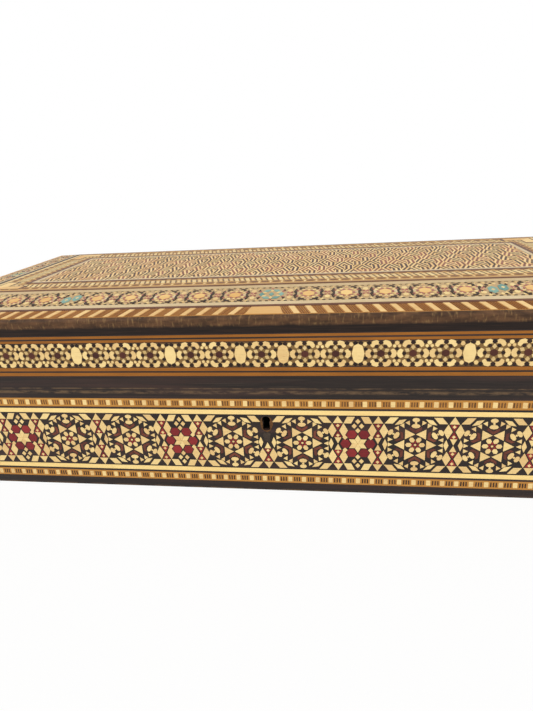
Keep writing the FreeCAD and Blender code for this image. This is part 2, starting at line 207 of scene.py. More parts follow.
sides = ("front", "right", "back", "left")
walnut = wood("walnut", "8a5f3c", "55351f", 0.55)
dress(walnut, "base_board", "lid_top_board")
for side in sides:
    dress(walnut, side + "_wall", "lid_" + side + "_wall")


# Foot strips and rims: plain black-stained strips, mitred at the corners and glued to the carcass.
# Handling has rubbed them brown along the seam, round the foot and at the corners.
def ebony(name, *rubbed_levels):
    """Black-stained wood with brown streaks, rubbed through near each level, given with its reach."""
    finish, place = new_finish(name)
    run = round_the_box(place)
    fibres = run.stretched(45, 1300, 1300).noise(1.0, 5.0, 0.6)
    streaks = run.stretched(8, 240, 240).noise(1.0, 3.0).ramp(0.42, 0.75)
    scratches = run.stretched(25, 2600, 2600).noise(1.0, 2.0).ramp(0.64, 0.70)
    colour = (streaks * 0.8).mix(srgb("221b18"), srgb("46302a"))
    colour = (fibres.ramp(0.35, 0.75) * 0.4).mix(colour, srgb("3a2f2a"))
    colour = (scratches * 0.2).mix(colour, srgb("6a5a49"))
    chips = run.stretched(120, 420, 420).noise(1.0, 5.0, 0.65)
    corner = abs(place.axis("X")) + abs(place.axis("Y")) - (half_width + half_depth)
    rubbed = corner.ramp(-2.5 * mm, -0.5 * mm) * chips.ramp(0.42, 0.58)
    for level, reach in rubbed_levels:
        near = abs(place.axis("Z") - level).ramp(reach, 0.15 * reach)
        rubbed = rubbed + near * chips.ramp(0.38, 0.62)
    colour = (rubbed * 0.75).mix(colour, srgb("6f5840"))
    surface(finish, colour, 0.36 + fibres * 0.2 + rubbed * 0.2, fibres - scratches - rubbed, 0.03 * mm,
            {"Specular IOR Level": 0.22})
    return finish


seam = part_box("body_rim_strips")[1].z
foot_ebony = ebony("foot_ebony", (0.2 * mm, 0.9 * mm))
rim_ebony = ebony("rim_ebony", (seam - 2.2 * mm, 1.4 * mm), (seam - 0.2 * mm, 0.5 * mm))
ground_ebony = ebony("ground_ebony")
dress(foot_ebony, "foot_strips")
dress(rim_ebony, "body_rim_strips", "lid_rim_strips")


# Cream lines: boxwood strips above and below the star bands, with a black line next to each banding.
# The black line is a thin strip let into the edge of the cream one all round the box.
line_proud = 0.05 * mm
line_sunk = 0.15 * mm
black_line = 1.1 * mm


def plain_block(size, middle=(0, 0, 0)):
    """A block of a size about a middle."""
    bpy.ops.object.select_all(action="DESELECT")
    bpy.ops.mesh.primitive_cube_add(size=1.0)
    bpy.ops.object.mode_set(mode="EDIT")
    bpy.ops.transform.resize(value=size)
    bpy.ops.transform.translate(value=middle)
    bpy.ops.object.mode_set(mode="OBJECT")
    return bpy.context.object


def run_round(name, low, high, body):
    """A thin black strip round all four walls: a block with no top or bottom, given its thickness."""
    size = (2 * (half_width + line_proud), 2 * (half_depth + line_proud), high - low)
    strip = plain_block(size, (0, 0, (low + high) / 2))
    strip.name = name
    bpy.ops.object.mode_set(mode="EDIT")
    mesh = bmesh.from_edit_mesh(strip.data)
    for face in mesh.faces:
        face.select = abs(face.normal.z) > 0.5
    bpy.ops.mesh.delete(type="ONLY_FACE")
    bpy.ops.object.mode_set(mode="OBJECT")
    thickness = strip.modifiers.new("thickness", "SOLIDIFY")
    thickness.thickness = line_proud + line_sunk
    thickness.offset = -1
    thickness.use_even_offset = True
    bpy.ops.object.modifier_apply(modifier="thickness")
    strip.data.materials.append(ground_ebony)
    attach(strip, body)


cream_line = wood("cream_line", "fde39c", "eac57c", 0.34)
dress(cream_line, "upper_cream_lines", "lower_cream_lines")
low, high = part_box("upper_cream_lines")
run_round("upper_black_line", high.z - black_line, high.z, "box")
low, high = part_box("lower_cream_lines")
run_round("lower_black_line", low.z, low.z + black_line, "box")


# Dashed bandings: orange citron strips with cream blocks let in at a steady pitch.
# Three short dark dashes stand between each two blocks, faded in the upper banding.
# These and all later tiles are sawn, laid and glued in runs on a bench, whose unit is the millimetre.
tile_proud = 0.10
tile_sunk = 0.20
tile_arris = 0.06
bench = bpy.data.collections.new("bench")
bpy.context.scene.collection.children.link(bench)


def move_to(collection, piece):
    """Link a piece to one collection alone."""
    for home in piece.users_collection:
        home.objects.unlink(piece)
    collection.objects.link(piece)


def clear_bench():
    """Remove all pieces that are left on the bench."""
    for tile in list(bench.objects):
        bpy.data.objects.remove(tile)


def pull(test, step):
    """In edit mode, move the corners that pass a test on their place."""
    mesh = bmesh.from_edit_mesh(bpy.context.edit_object.data)
    for corner in mesh.verts:
        corner.select = test(corner.co)
    mesh.select_flush_mode()
    bpy.ops.transform.translate(value=step)


def saw_tile(finish, corners, width, height, *pulls, rough=0.0):
    """Saw one thin tile: a regular blank stretched to its size, pulled into shape, with its arris eased."""
    bpy.ops.object.select_all(action="DESELECT")
    if corners == "square":
        bpy.ops.mesh.primitive_plane_add(size=1.0)
    else:
        bpy.ops.mesh.primitive_circle_add(vertices=corners, radius=0.5, fill_type="NGON")
    tile = bpy.context.object
    places = [corner.co for corner in tile.data.vertices]
    low = [min(place[axis] for place in places) for axis in (0, 1)]
    high = [max(place[axis] for place in places) for axis in (0, 1)]
    bpy.ops.object.mode_set(mode="EDIT")
    bpy.ops.mesh.select_all(action="SELECT")
    bpy.ops.transform.translate(value=(-(low[0] + high[0]) / 2, -(low[1] + high[1]) / 2, -tile_sunk))
    stretch = (width / (high[0] - low[0]), height / (high[1] - low[1]), 1)
    bpy.ops.transform.resize(value=stretch, center_override=(0, 0, 0))
    for test, step in pulls:
        pull(test, step)
    bpy.ops.mesh.select_all(action="SELECT")
    if rough:
        bpy.ops.transform.vertex_random(offset=rough, uniform=1.0, normal=0.0, seed=5)
        bpy.ops.transform.resize(value=(1, 1, 0), center_override=(0, 0, -tile_sunk))
    rise = tile_sunk + tile_proud - tile_arris
    bpy.ops.mesh.extrude_region_move(TRANSFORM_OT_translate={"value": (0, 0, rise)})
    bpy.ops.mesh.inset(thickness=tile_arris, depth=tile_arris)
    bpy.ops.mesh.select_all(action="SELECT")
    bpy.ops.mesh.normals_make_consistent(inside=False)
    bpy.ops.object.mode_set(mode="OBJECT")
    tile.data.materials.append(finish)
    move_to(bench, tile)
    return tile


def lay(tile, x, y, turn=0.0, lift=0.0):
    """A copy of a tile, with its own mesh, laid on the bench and turned by so many degrees."""
    copy = tile.copy()
    copy.data = tile.data.copy()
    copy.data.transform(Matrix.Translation((x, y, lift)) @ Matrix.Rotation(math.radians(turn), 4, "Z"))
    bench.objects.link(copy)
    return copy


def pick_up(*pieces):
    """Select pieces and nothing else, with the first one active."""
    bpy.ops.object.select_all(action="DESELECT")
    for piece in pieces:
        piece.select_set(True)
    bpy.context.view_layer.objects.active = pieces[0]


def glue(tiles):
    """Join laid tiles into one run."""
    pick_up(*tiles)
    bpy.ops.object.join()
    return tiles[0]


def side_turn(side):
    """Quarter turns from the front to a side, with the front face moved out to that side's face."""
    reach = half_depth if side in ("front", "back") else half_width
    return Matrix.Rotation(math.pi / 2 * sides.index(side), 4, "Z") @ Matrix.Translation((0, -reach, 0))


def wall_place(side):
    """From the bench (along, up, out) to the outer face of a wall, with the bench's edge on the table."""
    return side_turn(side) @ Matrix.Rotation(math.pi / 2, 4, "X")


def set_on(run, name, place, body, *nodes):
    """A copy of a finished run, with its own mesh, taken from the bench to its place on a body."""
    piece = lay(run, 0, 0)
    piece.name = name
    piece.data.transform(place @ Matrix.Scale(mm, 4))
    move_to(bpy.context.scene.collection, piece)
    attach(piece, body)
    if nodes:
        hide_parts(*nodes)


side_pairs = ((half_width / mm, ("front", "back")), (half_depth / mm, ("right", "left")))
citron = wood("citron", "cf9647", "98622a", 0.38)
cream_tile = wood("cream_tile", "f0d594", "d8b277", 0.34, tiles=True)
black_tile = wood("black_tile", "4a3526", "281c15", 0.42, tiles=True)
faded_tile = wood("faded_tile", "7d5630", "523820", 0.42, tiles=True)
dress(citron, "upper_dashed_bandings", "lower_dashed_bandings")
dash_width = 0.65
dash_height = 2.5
dash_spacing = 1.25
corner_margin = 2.0
hand_shift = 0.18
hand_turn = 2.0
block = saw_tile(cream_tile, "square", 2.1, 2.9)
black_dash = saw_tile(black_tile, "square", dash_width, dash_height)
faded_dash = saw_tile(faded_tile, "square", dash_width, dash_height)
for level, pitch, first, dash in (("upper", 6.5, 2.9, faded_dash), ("lower", 6.84, 4.0, black_dash)):
    low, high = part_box(level + "_dashed_bandings")
    middle = (low.z + high.z) / 2 / mm
    for half, pair in side_pairs:
        starts = [first + step * pitch for step in range(-int(half / pitch) - 1, int(half / pitch) + 2)]
        spots = [(block, start) for start in starts]
        for start in starts:
            spots += [(dash, start + pitch / 2 + aside * dash_spacing) for aside in (-1, 0, 1)]
        tiles = []
        for tile, along in spots:
            if abs(along) < half - corner_margin:
                shifted = along + hand_shift * math.sin(900 * along)
                tiles.append(lay(tile, shifted, middle, hand_turn * math.sin(700 * along)))
        run = glue(tiles)
        for side in pair:
            set_on(run, f"{side}_{level}_dashes", wall_place(side), "box")
clear_bench()


# Star bands: a pierced ebony sheet on each side, with rosettes of six cream points, red-petalled stars
# and spindles between them, all of small sawn tiles let in and polished flush.
red_tile = wood("red_tile", "96302f", "6b1f22", 0.34, tiles=True)
brown_tile = wood("brown_tile", "774030", "4a2821", 0.36, tiles=True)
saw_fit = 0.001
low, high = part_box("front_star_ground")
star_middle = (low.z + high.z) / 2 / mm
for side in sides:
    dress(ground_ebony, side + "_star_ground")


def mirrored(tile, x, y, lift=0.0):
    """Copies of a tile on both sides of the middle, below and above it, or both ways."""
    asides = (-x, x) if x else (0,)
    heights = (-y, y) if y else (0,)
    return [lay(tile, aside, height, 0, lift) for aside in asides for height in heights]


def ring_of_six(tile, radius, first, aside=0.0, turn=0.0, lift=0.0):
    """Six copies of a tile about the middle, their tops outwards, each set aside along the ring."""
    laid = []
    for step in range(6):
        angle = math.radians(first + 60 * step)
        x = radius * math.cos(angle) - aside * math.sin(angle)
        y = radius * math.sin(angle) + aside * math.cos(angle)
        laid.append(lay(tile, x, y, first + 60 * step - 90 + turn, lift))
    return laid


def leaning(finish, width, height, lean):
    """A parallelogram, its foot set to the right of its head by a lean."""
    return saw_tile(finish, "square", width, height, (lambda spot: spot.y < 0, (lean / 2, 0, 0)),
                    (lambda spot: spot.y > 0, (-lean / 2, 0, 0)))


def four_corners(width, height, lean, x, y):
    """Leaning cream tiles in the four corners of a module, in mirror image."""
    tiles = {sign: leaning(cream_tile, width, height, sign * lean) for sign in (1, -1)}
    spots = ((1, x, y), (-1, -x, y), (-1, x, -y), (1, -x, -y))
    return [lay(tiles[sign], along, up) for sign, along, up in spots]


def saw_along(run, cuts):
    """Saw a run along planes, each a place and a normal towards the part that falls off."""
    pick_up(run)
    bpy.ops.object.mode_set(mode="EDIT")
    for place, normal in cuts:
        bpy.ops.mesh.select_all(action="SELECT")
        bpy.ops.mesh.bisect(plane_co=place, plane_no=normal, use_fill=True, clear_outer=True,
                            threshold=saw_fit)
    bpy.ops.object.mode_set(mode="OBJECT")
    return run


def saw_ends(run, half, lean=0.0):
    """Saw off both ends of a run, square or along a mitre that leans inwards."""
    return saw_along(run, [((end * half, 0, 0), Vector((end, lean, 0)).normalized()) for end in (-1, 1)])


# Rosette: six cream points round a red and cream heart, a brown chevron and an eye between each two of them,
# and three small triangles and a sliver outside each one
point = saw_tile(cream_tile, 3, 5.4, 4.7)
heart = saw_tile(cream_tile, 6, 2.2, 3.1)
heart_red = saw_tile(red_tile, 4, 1.3, 2.0)
heart_middle = saw_tile(cream_tile, 6, 1.1, 1.2)
right_arm = saw_tile(brown_tile, "square", 2.8, 1.6, (lambda spot: spot.x > 0, (0, 1.9, 0)))
left_arm = saw_tile(brown_tile, "square", 2.8, 1.6, (lambda spot: spot.x < 0, (0, 1.9, 0)))
outer_lid = saw_tile(cream_tile, 8, 3.6, 2.3)
inner_lid = saw_tile(cream_tile, 8, 4.2, 2.4)
pupil = saw_tile(cream_tile, 4, 1.4, 1.3)
bead = saw_tile(cream_tile, 3, 2.3, 2.3)
sliver = saw_tile(cream_tile, 4, 6.2, 2.4)
tiles = ring_of_six(point, 7.5, 0) + ring_of_six(heart, 3.15, 0) + ring_of_six(heart_red, 1.5, 30)
tiles.append(lay(heart_middle, 0, 0, lift=0.03))
tiles += ring_of_six(right_arm, 7.2, 30, aside=-1.4) + ring_of_six(left_arm, 7.2, 30, aside=1.4)
tiles += ring_of_six(inner_lid, 10.3, 30) + ring_of_six(outer_lid, 13.6, 30)
tiles += ring_of_six(pupil, 12.0, 30, lift=0.02)
for aside in (-2.9, 0, 2.9):
    tiles += ring_of_six(bead, 11.8, 0, aside=aside, turn=180)
tiles += ring_of_six(sliver, 14.3, 0) + four_corners(3.9, 3.3, 2.6, 11.4, 13.2)
rosette = glue(tiles)

# Red star: a cream star of six lozenges with six red petals, and four small diamonds above and below it
star_ray = saw_tile(cream_tile, 4, 2.75, 4.9)
petal = saw_tile(red_tile, 6, 4.6, 5.1)
die = saw_tile(cream_tile, 4, 2.5, 2.9)
gusset = saw_tile(cream_tile, 4, 2.5, 2.7)
tiles = ring_of_six(star_ray, 2.5, 30) + ring_of_six(petal, 6.0, 0)
for height in (-9.9, 9.9):
    for along, up in ((0, 2.5), (0, -2.5), (1.75, 0), (-1.75, 0)):
        tiles.append(lay(die, along, height + up, lift=0.03))
tiles += four_corners(3.7, 3.6, 1.8, 4.2, 13.1) + mirrored(gusset, 6.2, 3.55, lift=0.03)
red_star = glue(tiles)

# Spindle: two units of cream kites round a red hourglass, between cream triangles, upper and lower half alike
spindle_tip = saw_tile(cream_tile, 3, 4.8, 3.9)
kite = saw_tile(cream_tile, 4, 4.2, 8.0)
red_half = saw_tile(red_tile, 3, 4.0, 3.6)
red_dot = saw_tile(cream_tile, 4, 1.8, 1.9)
waist = saw_tile(cream_tile, 3, 3.3, 3.4)
tiles = [lay(spindle_tip, 0, -13.4, 180)]
tiles += [lay(kite, aside, -7.4) for aside in (-2.75, 2.75)]
tiles += [lay(red_half, 0, -5.5, 180), lay(red_half, 0, -9.3)]
tiles += [lay(red_dot, 0, height, lift=0.05) for height in (-4.7, -10.1)]
tiles.append(lay(waist, 0, -1.8))
lower_half = glue(tiles)
spindle = glue([lay(lower_half, 0, 0), lay(lower_half, 0, 0, 180)])
module_pitch = {"rosette": 35.3, "red star": 19.3}
module_reach = {"rosette": 9.1, "red star": 8.1}


def band_modules(half, first):
    """Modules along a side, as (kind, middle, outer edge), worked outwards from its middle."""
    order = ["rosette", "red star", "rosette"] if first == "rosette" else ["red star", "rosette", "rosette"]
    edge = 0.0 if first == "rosette" else -module_pitch[first] / 2
    modules = []
    kind = first
    while edge + module_pitch[kind] / 2 + module_reach[kind] < half - corner_margin:
        modules.append((kind, edge + module_pitch[kind] / 2, edge + module_pitch[kind]))
        edge += module_pitch[kind]
        kind = order[len(modules) % 3]
    return modules


motifs = {"rosette": rosette, "red star": red_star}
for (half, pair), first in zip(side_pairs, ("rosette", "red star")):
    modules = band_modules(half, first)
    places = sorted({(kind, sign * middle) for kind, middle, edge in modules for sign in (-1, 1)})
    joints = sorted({sign * edge for kind, middle, edge in modules for sign in (-1, 1)})
    tiles = [lay(motifs[kind], middle, star_middle) for kind, middle in places]
    tiles += [lay(spindle, joint, star_middle) for joint in joints]
    if first == "rosette":
        tiles.append(lay(lower_half, 0, star_middle))
    run = saw_ends(glue(tiles), half)
    for side in pair:
        set_on(run, side + "_star_tesserae", wall_place(side), "box", side + "_star_tiles", "red_star_tiles")
upside_down = Matrix.Translation((0, star_middle * mm, 0)) @ Matrix.Rotation(math.pi, 4, "Z")
set_on(lower_half, "back_middle_spindle", wall_place("back") @ upside_down, "box")
clear_bench()


# Keyhole surround: keys have worn the band round the hole down to bare brown wood, with no metal plate.
# The opening is a round head over a slot that flares to its foot, and the ebony under it is rubbed grey.
key_height = 41.1 * mm
key_head = 2.1 * mm
key_flare = 0.45 * mm
key_foot = 35.5 * mm
surround_height = 38.8 * mm
patch_height = 31.6 * mm


def cut_out(piece, cutter):
    """Cut a piece with another one, which is used up."""
    pick_up(piece)
    opening = piece.modifiers.new("opening", "BOOLEAN")
    opening.object = cutter
    opening.solver = "EXACT"
    bpy.ops.object.modifier_apply(modifier="opening")
    bpy.data.objects.remove(cutter)


bare_wood = wood("bare_wood", "8f6236", "3f2917", 0.7, tiles=True)
rubbed_wood = wood("rubbed_wood", "54483e", "2e2621", 0.75, tiles=True)
surround = saw_tile(bare_wood, 16, 6.3, 9.0, rough=0.5)
surround.name = "keyhole_surround"
surround_place = wall_place("front") @ Matrix.Translation((0, surround_height, 0))
surround.data.transform(surround_place @ Matrix.Scale(mm, 4))
move_to(bpy.context.scene.collection, surround)
bpy.ops.object.select_all(action="DESELECT")
bpy.ops.mesh.primitive_cylinder_add(vertices=24, radius=key_head, depth=6 * mm, rotation=(math.pi / 2, 0, 0))
bpy.ops.object.transform_apply(rotation=True)
cutter = bpy.context.object
bpy.ops.object.mode_set(mode="EDIT")
bpy.ops.transform.translate(value=(0, -half_depth, key_height))
pull(lambda spot: spot.z < key_height - 0.7 * key_head, (0, 0, key_foot - key_height + 0.9 * key_head))
bpy.ops.transform.resize(value=(1 + key_flare / key_head, 1, 1), center_override=(0, 0, 0))
bpy.ops.object.mode_set(mode="OBJECT")
cut_out(surround, cutter)
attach(surround, "box")


def paint_keyhole_shade(finish):
    """A copy of a finish with painted shade, near black, close round the keyhole, but not inside the box."""
    shaded = finish.copy()
    tree = shaded.node_tree
    shader = tree.nodes["Principled BSDF"]
    unshaded = Value(tree, shader.inputs["Base Color"].links[0].from_socket)
    place = Value(tree, tree.nodes["Texture Coordinate"].outputs["Object"])
    away = abs(place.axis("X")) + abs(place.axis("Z") - (key_foot + key_height) / 2) * 0.6
    inner_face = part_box("lock_plate")[1].y
    away = away + 20 * mm * place.axis("Y").ramp(inner_face - 0.4 * mm, inner_face - 0.2 * mm)
    tree.links.new(away.ramp(8 * mm, 4 * mm).mix(unshaded, srgb("0c0806")).socket, shader.inputs["Base Color"])
    return shaded


# Painted shade, near black, round the keyhole on the front wall.
dress(paint_keyhole_shade(walnut), "front_wall")
rubbed_patch = saw_tile(rubbed_wood, 14, 3.8, 6.0, rough=0.6)
patch_place = wall_place("front") @ Matrix.Translation((0, patch_height, 0))
set_on(rubbed_patch, "keyhole_rubbed_patch", patch_place, "box")
clear_bench()


# Velvet lining: red velvet stretched over card and glued to the floor and the walls of the body.
# Each panel is a little crowned, with its edges turned under, and the front one is cut out for the lock.
velvet, place = new_finish("velvet")
nap = place.noise(900.0, 4.0, 0.7)
brushed = place.noise(35.0, 3.0)
colour = (brushed.ramp(0.3, 0.75) * 0.35 + nap * 0.5).mix(srgb("520f19"), srgb("84202c"))
velvet_constants = {"Sheen Weight": 0.6, "Sheen Roughness": 0.4, "Sheen Tint": srgb("d86a72")}
surface(velvet, colour, 0.8 + nap * 0.2, nap, 0.15 * mm, velvet_constants)
lining = 1.5 * mm
lining_gap = 0.2 * mm
cell = 7.0 * mm
card = 0.8 * mm
turned_edge = 0.7 * mm
turned_rise = 0.5 * mm
crown_edge = 1.5 * mm
crown = 0.15 * mm


def velvet_panel(name, width, height, place, body, node):
    """A crowned velvet panel, made flat and taken to its place."""
    bpy.ops.object.select_all(action="DESELECT")
    across = max(2, round(width / cell))
    up = max(2, round(height / cell))
    bpy.ops.mesh.primitive_grid_add(x_subdivisions=across, y_subdivisions=up, size=1.0)
    panel = bpy.context.object
    panel.name = name
    bpy.ops.object.mode_set(mode="EDIT")
    bpy.ops.mesh.select_all(action="SELECT")
    bpy.ops.transform.resize(value=(width, height, 1), center_override=(0, 0, 0))
    bpy.ops.mesh.extrude_region_move(TRANSFORM_OT_translate={"value": (0, 0, card)})
    bpy.ops.mesh.inset(thickness=turned_edge, depth=turned_rise)
    bpy.ops.mesh.inset(thickness=crown_edge, depth=crown)
    bpy.ops.transform.vertex_random(offset=crown, normal=1.0, seed=7)
    bpy.ops.mesh.select_all(action="SELECT")
    bpy.ops.mesh.normals_make_consistent(inside=False)
    bpy.ops.object.mode_set(mode="OBJECT")
    smooth = panel.modifiers.new("smooth", "SUBSURF")
    smooth.levels = 1
    smooth.render_levels = 1
    bpy.ops.object.modifier_apply(modifier="smooth")
    bpy.ops.object.shade_smooth()
    panel.data.materials.append(velvet)
    panel.data.transform(place)
    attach(panel, body)
    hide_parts(node)
    return panel


def wall_panels(prefix, node, body):
    """Velvet panels on the inner faces of four walls, by side."""
    low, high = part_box(node)
    inset = half_depth - high.y
    middle = (low.z + high.z) / 2
    facing = Matrix.Rotation(math.pi, 4, "Z") @ Matrix.Rotation(math.pi / 2, 4, "X")
    panels = {}
    for half, pair in side_pairs:
        for side in pair:
            width = 2 * (half * mm - inset - lining)
            place = side_turn(side) @ Matrix.Translation((0, inset, middle)) @ facing
            panels[side] = velvet_panel(prefix + side, width, high.z - low.z, place, body, node)
    return panels


low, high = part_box("floor_lining")
floor_place = Matrix.Translation((0, 0, low.z))
velvet_panel("velvet_floor", high.x - low.x, high.y - low.y, floor_place, "box", "floor_lining")
body_panels = wall_panels("velvet_", "wall_linings", "box")
lock_low, lock_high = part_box("lock_plate")
window_width = lock_high.x - lock_low.x + 2 * lining_gap
window_height = 60 * mm
window_depth = 10 * mm
window_middle = (0, lock_high.y, lock_low.z - lining_gap + window_height / 2)
cut_out(body_panels["front"], plain_block((window_width, window_depth, window_height), window_middle))


# Lock: a brass plate with a folded selvedge, screwed to the front wall, under which a steel bolt slides.
# The bolt's two hooks catch the staples of the strike plate in the lid.
def metal(name, bright, dull, roughness):
    """Old metal between two screen colours: tarnish in soft patches, fine scratches and a little dirt."""
    finish, place = new_finish(name)
    tarnish = place.noise(90.0, 5.0, 0.6)
    scratches = place.stretched(300, 5000, 5000).noise(1.0, 3.0)
    dirt = place.noise(700.0, 3.0).ramp(0.55, 0.75)
    colour = tarnish.ramp(0.35, 0.7).mix(srgb(bright), srgb(dull))
    colour = (dirt * 0.4).mix(colour, srgb("3b2d1c"))
    surface(finish, colour, roughness + tarnish * 0.2 + dirt * 0.2, scratches, 0.01 * mm, {"Metallic": 1.0})
    return finish


brass = metal("brass", "d9b56a", "9c7433", 0.25)
steel = metal("steel", "8f8a82", "55504a", 0.42)
dress(brass, "strike_plate")
# Painted shade round the keyhole on the lock plate, the lock cap and the key post.
dress(paint_keyhole_shade(brass), "lock_plate", "lock_cap")
dress(paint_keyhole_shade(steel), "key_post")
dress(steel, "lock_bolt")


# Screws: turned steel wood screws with slotted, countersunk heads.
# Four hold the lock, two hold the strike plate, and the hinges take eight.
head_radius = 1.6 * mm
head_depth = 1.2 * mm
shank_radius = 0.8 * mm
shank_length = 6.0 * mm
slot_width = 0.45 * mm
slot_depth = 0.5 * mm
point_taper = 0.2
lengths = ((head_depth, shank_radius / head_radius), (shank_length - shank_radius - head_depth, 1.0),
           (shank_radius, point_taper))
bpy.ops.object.select_all(action="DESELECT")
bpy.ops.mesh.primitive_circle_add(vertices=24, radius=head_radius, fill_type="NGON")
screw = bpy.context.object
bpy.ops.object.mode_set(mode="EDIT")
for length, taper in lengths:
    bpy.ops.mesh.extrude_region_move(TRANSFORM_OT_translate={"value": (0, 0, -length)})
    bpy.ops.transform.resize(value=(taper, taper, 1))
bpy.ops.mesh.select_all(action="SELECT")
bpy.ops.mesh.normals_make_consistent(inside=False)
bpy.ops.object.mode_set(mode="OBJECT")
cut_out(screw, plain_block((4 * head_radius, slot_width, 2 * slot_depth)))
screw.data.materials.append(steel)
move_to(bench, screw)


def drive_screws(name, heads, body, node):
    """Screws at their heads' places, each (place, axis that the head faces, turn of the slot)."""
    driven = []
    for place, facing, turn in heads:
        copy = lay(screw, 0, 0, turn)
        upright = Vector(facing).to_track_quat("Z", "Y").to_matrix().to_4x4()
        copy.data.transform(Matrix.Translation(place) @ upright)
        driven.append(copy)
    screws = glue(driven)
    screws.name = name
    move_to(bpy.context.scene.collection, screws)
    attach(screws, body)
    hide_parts(node)


lock_screw_reach = 24.0 * mm
low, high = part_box("strike_plate")
rim_screw_depth = low.y + 2.75 * mm
plate_screw_height = 36.0 * mm
rim_heads = [((-lock_screw_reach, rim_screw_depth, seam), 20),
             ((lock_screw_reach, rim_screw_depth, seam), 75)]
plate_heads = [((-lock_screw_reach, lock_high.y, plate_screw_height), (0, 1, 0), 50),
               ((lock_screw_reach, lock_high.y, plate_screw_height), (0, 1, 0), 110)]
drive_screws("lock_slotted_screws", [(spot, (0, 0, 1), turn) for spot, turn in rim_heads] + plate_heads,
             "box", "lock_screws")
drive_screws("strike_slotted_screws", [(spot, (0, 0, -1), turn) for spot, turn in rim_heads],
             "lid", "strike_screws")


# Hinges: two cast brass butt hinges let into the back rims, turning on steel pins.
# Two countersunk screws hold each leaf.
leaf_screw_reach = 12.0 * mm
leaf_screw_inset = 5.0 * mm
dress(steel, "hinge_pins")
low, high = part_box("hinge_pins")
screw_line = (low.y + high.y) / 2 - leaf_screw_inset
leaf_heads = []
for word in ("left", "right"):
    dress(brass, word + "_hinge_body_leaf", word + "_hinge_lid_leaf")
    low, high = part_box(word + "_hinge_body_leaf")
    for aside, turn in ((-leaf_screw_reach, 15), (leaf_screw_reach, 130)):
        leaf_heads.append((((low.x + high.x) / 2 + aside, screw_line, seam), turn))
drive_screws("body_leaf_screws", [(spot, (0, 0, 1), turn) for spot, turn in leaf_heads],
             "box", "body_hinge_screws")
drive_screws("lid_leaf_screws", [(spot, (0, 0, -1), turn + 40) for spot, turn in leaf_heads],
             "lid", "lid_hinge_screws")
clear_bench()


# Lid stringing: amber strips above and below the rosette band, with a black line along the middle of each
# and finer ones along its edges. Like the other strips they are mitred and glued to the lid's walls.
amber = wood("amber", "aa6c26", "774617", 0.38)
middle_line = 0.8 * mm
thin_line = 0.5 * mm
for level in ("lower", "upper"):
    node = f"lid_{level}_stringing"
    dress(amber, node)
    low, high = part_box(node)
    middle = (low.z + high.z) / 2
    run_round(f"lid_{level}_black_line", middle - middle_line / 2, middle + middle_line / 2, "lid")
    for word, edge in (("low", low.z), ("high", high.z - thin_line)):
        run_round(f"lid_{level}_{word}_line", edge, edge + thin_line, "lid")


# Lid rosette bands: small rosettes of fat cream crescents round a dark hexagon, on a brown ground.
# Dark dots mark their corners, and plain cream lozenges stand between groups of one, two and then three.
small_pitch = 14.2
lozenge_pitch = 20.5
low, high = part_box("lid_front_rosette_band")
band_middle = (low.z + high.z) / 2 / mm
olive_ground = wood("olive_ground", "8f7042", "634828", 0.4)
olive_tile = wood("olive_tile", "e0c48c", "bd9e64", 0.38, tiles=True)
heart_tile = wood("heart_tile", "572e23", "351b15", 0.36, tiles=True)
dot_tile = wood("dot_tile", "36241b", "1a110d", 0.4, tiles=True)
small_heart = saw_tile(heart_tile, 6, 3.3, 3.6)
small_petal = saw_tile(olive_tile, 4, 2.1, 2.6)
dot = saw_tile(dot_tile, 6, 1.7, 1.8)
edge_dot = saw_tile(dot_tile, 6, 2.2, 1.9)
crescent = saw_tile(cream_tile, 8, 4.6, 3.4, (lambda spot: spot.y < -1.5, (0, 1.2, 0)))
bead = saw_tile(cream_tile, 8, 2.1, 2.1)
small_bead = saw_tile(cream_tile, 8, 1.5, 1.6)
lozenge = saw_tile(cream_tile, 8, 5.8, 10.4)
tiles = [lay(small_heart, 0, 0)] + ring_of_six(small_petal, 3.0, 30) + ring_of_six(crescent, 5.4, 0)
tiles += ring_of_six(dot, 3.85, 0, lift=0.03) + mirrored(edge_dot, 0, 5.3, lift=0.04)
small_rosette = glue(tiles)
tiles = mirrored(bead, 0, 5.1) + mirrored(small_bead, 1.1, 3.6, lift=0.02)
tiles += mirrored(dot, 1.9, 5.4, lift=0.03) + mirrored(dot, 0, 2.2, lift=0.04)
column = glue(tiles)
tiles = [lay(lozenge, 0, 0)] + mirrored(bead, 3.1, 4.6) + mirrored(dot, 3.4, 2.2, lift=0.04)
for aside in (-5.0, -1.2, 1.2, 5.0):
    tiles += [lay(edge_dot, aside, height, lift=0.04) for height in (-5.2, 5.2)]
flanked_lozenge = glue(tiles)
small_motifs = {"lozenge": flanked_lozenge, "rosette": small_rosette, "column": column}
for half, pair in side_pairs:
    spots = []
    edge = 0.0
    group = 2
    while edge < half:
        spots.append(("lozenge", edge + lozenge_pitch / 2))
        edge += lozenge_pitch
        for step in range(group):
            spots.append(("rosette", edge + step * small_pitch))
            if step:
                spots.append(("column", edge + (step - 0.5) * small_pitch))
        edge += (group - 1) * small_pitch
        group = 3
    tiles = [lay(small_rosette, 0, band_middle)]
    for kind, along in spots:
        tiles += [lay(small_motifs[kind], sign * along, band_middle) for sign in (-1, 1)]
    run = saw_ends(glue(tiles), half)
    for side in pair:
        dress(olive_ground, f"lid_{side}_rosette_band")
        set_on(run, f"lid_{side}_rosettes", wall_place(side), "lid")
clear_bench()
